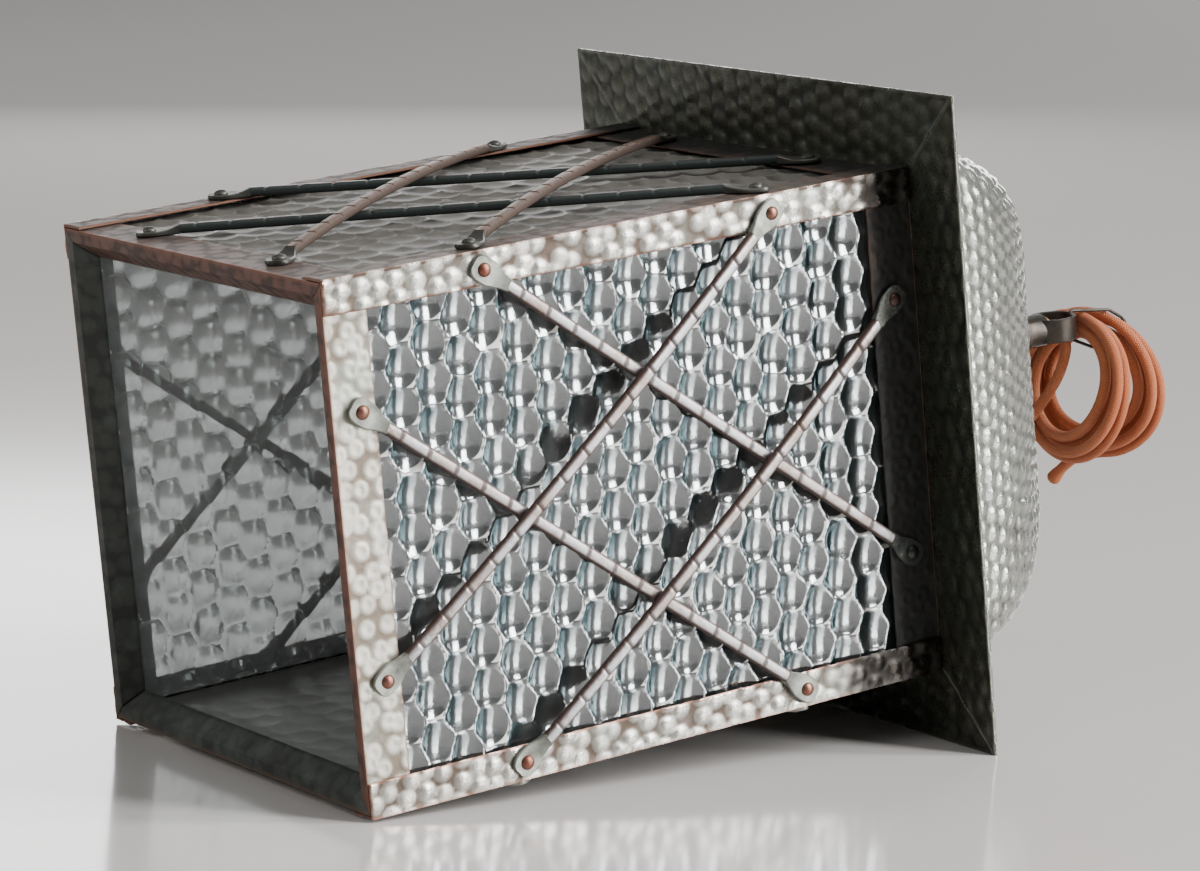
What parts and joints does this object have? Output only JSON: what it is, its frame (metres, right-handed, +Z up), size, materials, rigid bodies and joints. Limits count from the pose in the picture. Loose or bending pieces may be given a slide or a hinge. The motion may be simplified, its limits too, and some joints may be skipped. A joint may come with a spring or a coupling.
{
  "type": "lantern pendant light",
  "caption": "Square hammered-metal lantern on its side, glazed with dimpled glass under a riveted lattice, with a flat brim, a domed cap, a suspension ring and a hank of fabric flex.",
  "frame": {"origin": "centre of the bounding box of the lantern without its flex, on the surface that it lies on", "axes": "+X from the open end towards the suspension ring, +Z up as it lies, +Y away from the glazed side that faces the viewer"},
  "size_m": [0.4566, 0.2586, 0.2573],
  "materials": {
    "copper": "copper strip, patinated dark brown and hammered",
    "pale_hammered": "hammered strip with silvery crests and brown hollows",
    "dome_metal": "hammered sheet with a grey-green bloom",
    "brim_metal": "hammered sheet, almost black",
    "dark_bronze": "dark bronze, semi-gloss",
    "brass": "brass, satin",
    "porcelain": "glazed porcelain",
    "glass": "clear hammered glass with large dimples",
    "fabric": "orange braided fabric, matt"
  },
  "bodies": {
    "lantern": {"corner_post_back_top": "pale_hammered", "corner_post_front_top": "pale_hammered", "corner_post_front_bottom": "pale_hammered", "corner_post_back_bottom": "pale_hammered", "open_end_rail_top": "pale_hammered", "open_end_rail_front": "pale_hammered", "open_end_rail_bottom": "pale_hammered", "open_end_rail_back": "pale_hammered", "brim_end_rail_top": "pale_hammered", "brim_end_rail_front": "pale_hammered", "brim_end_rail_bottom": "pale_hammered", "brim_end_rail_back": "pale_hammered", "glass_pane_top": "glass", "glass_pane_front": "glass", "glass_pane_bottom": "glass", "glass_pane_back": "glass", "lattice_bar_top_low_a": "copper", "lattice_bar_top_low_b": "copper", "lattice_bar_top_arched_a": "copper", "lattice_bar_top_arched_b": "copper", "lattice_bar_front_low_a": "copper", "lattice_bar_front_low_b": "copper", "lattice_bar_front_arched_a": "copper", "lattice_bar_front_arched_b": "copper", "lattice_bar_bottom_low_a": "copper", "lattice_bar_bottom_low_b": "copper", "lattice_bar_bottom_arched_a": "copper", "lattice_bar_bottom_arched_b": "copper", "lattice_bar_back_low_a": "copper", "lattice_bar_back_low_b": "copper", "lattice_bar_back_arched_a": "copper", "lattice_bar_back_arched_b": "copper", "brim_panel_top": "brim_metal", "brim_panel_front": "brim_metal", "brim_panel_bottom": "brim_metal", "brim_panel_back": "brim_metal", "dome": "dome_metal", "dome_curb": "dome_metal", "crown_washer": "dark_bronze", "stem_collar": "dark_bronze", "stem": "brass", "inner_washer": "brass", "lock_nut": "brass", "stem_bush": "porcelain", "lampholder_cover": "brass", "lampholder_shell": "brass", "contact_block": "porcelain", "inner_lead": "fabric"},
    "ring": {"suspension_ring": "dark_bronze", "cord_lead": "fabric", "cord_hank": "fabric", "cord_tail": "fabric", "hank_tie": "dark_bronze"},
    "shade_ring": {"shade_ring": "brass"},
    "plunger_front": {"contact_plunger_front": "brass"},
    "plunger_back": {"contact_plunger_back": "brass"}
  },
  "joints": [
    {"name": "ring_swivel", "type": "hinge", "parent": "lantern", "child": "ring", "pos_m": [0.18776, 0, 0.1424], "axis": [0.9942, 0, 0.1072], "range_deg": [-175, 175]},
    {"name": "shade_ring_thread", "type": "hinge", "parent": "lantern", "child": "shade_ring", "pos_m": [0.11697, 0, 0.13476], "axis": [0.9942, 0, 0.1072], "continuous": true},
    {"name": "plunger_front_slide", "type": "slide", "parent": "lantern", "child": "plunger_front", "axis": [0.9942, 0, 0.1072], "range_m": [0, 0.0025], "stiffness_N_per_m": 400},
    {"name": "plunger_back_slide", "type": "slide", "parent": "lantern", "child": "plunger_back", "axis": [0.9942, 0, 0.1072], "range_m": [0, 0.0025], "stiffness_N_per_m": 400}
  ]
}
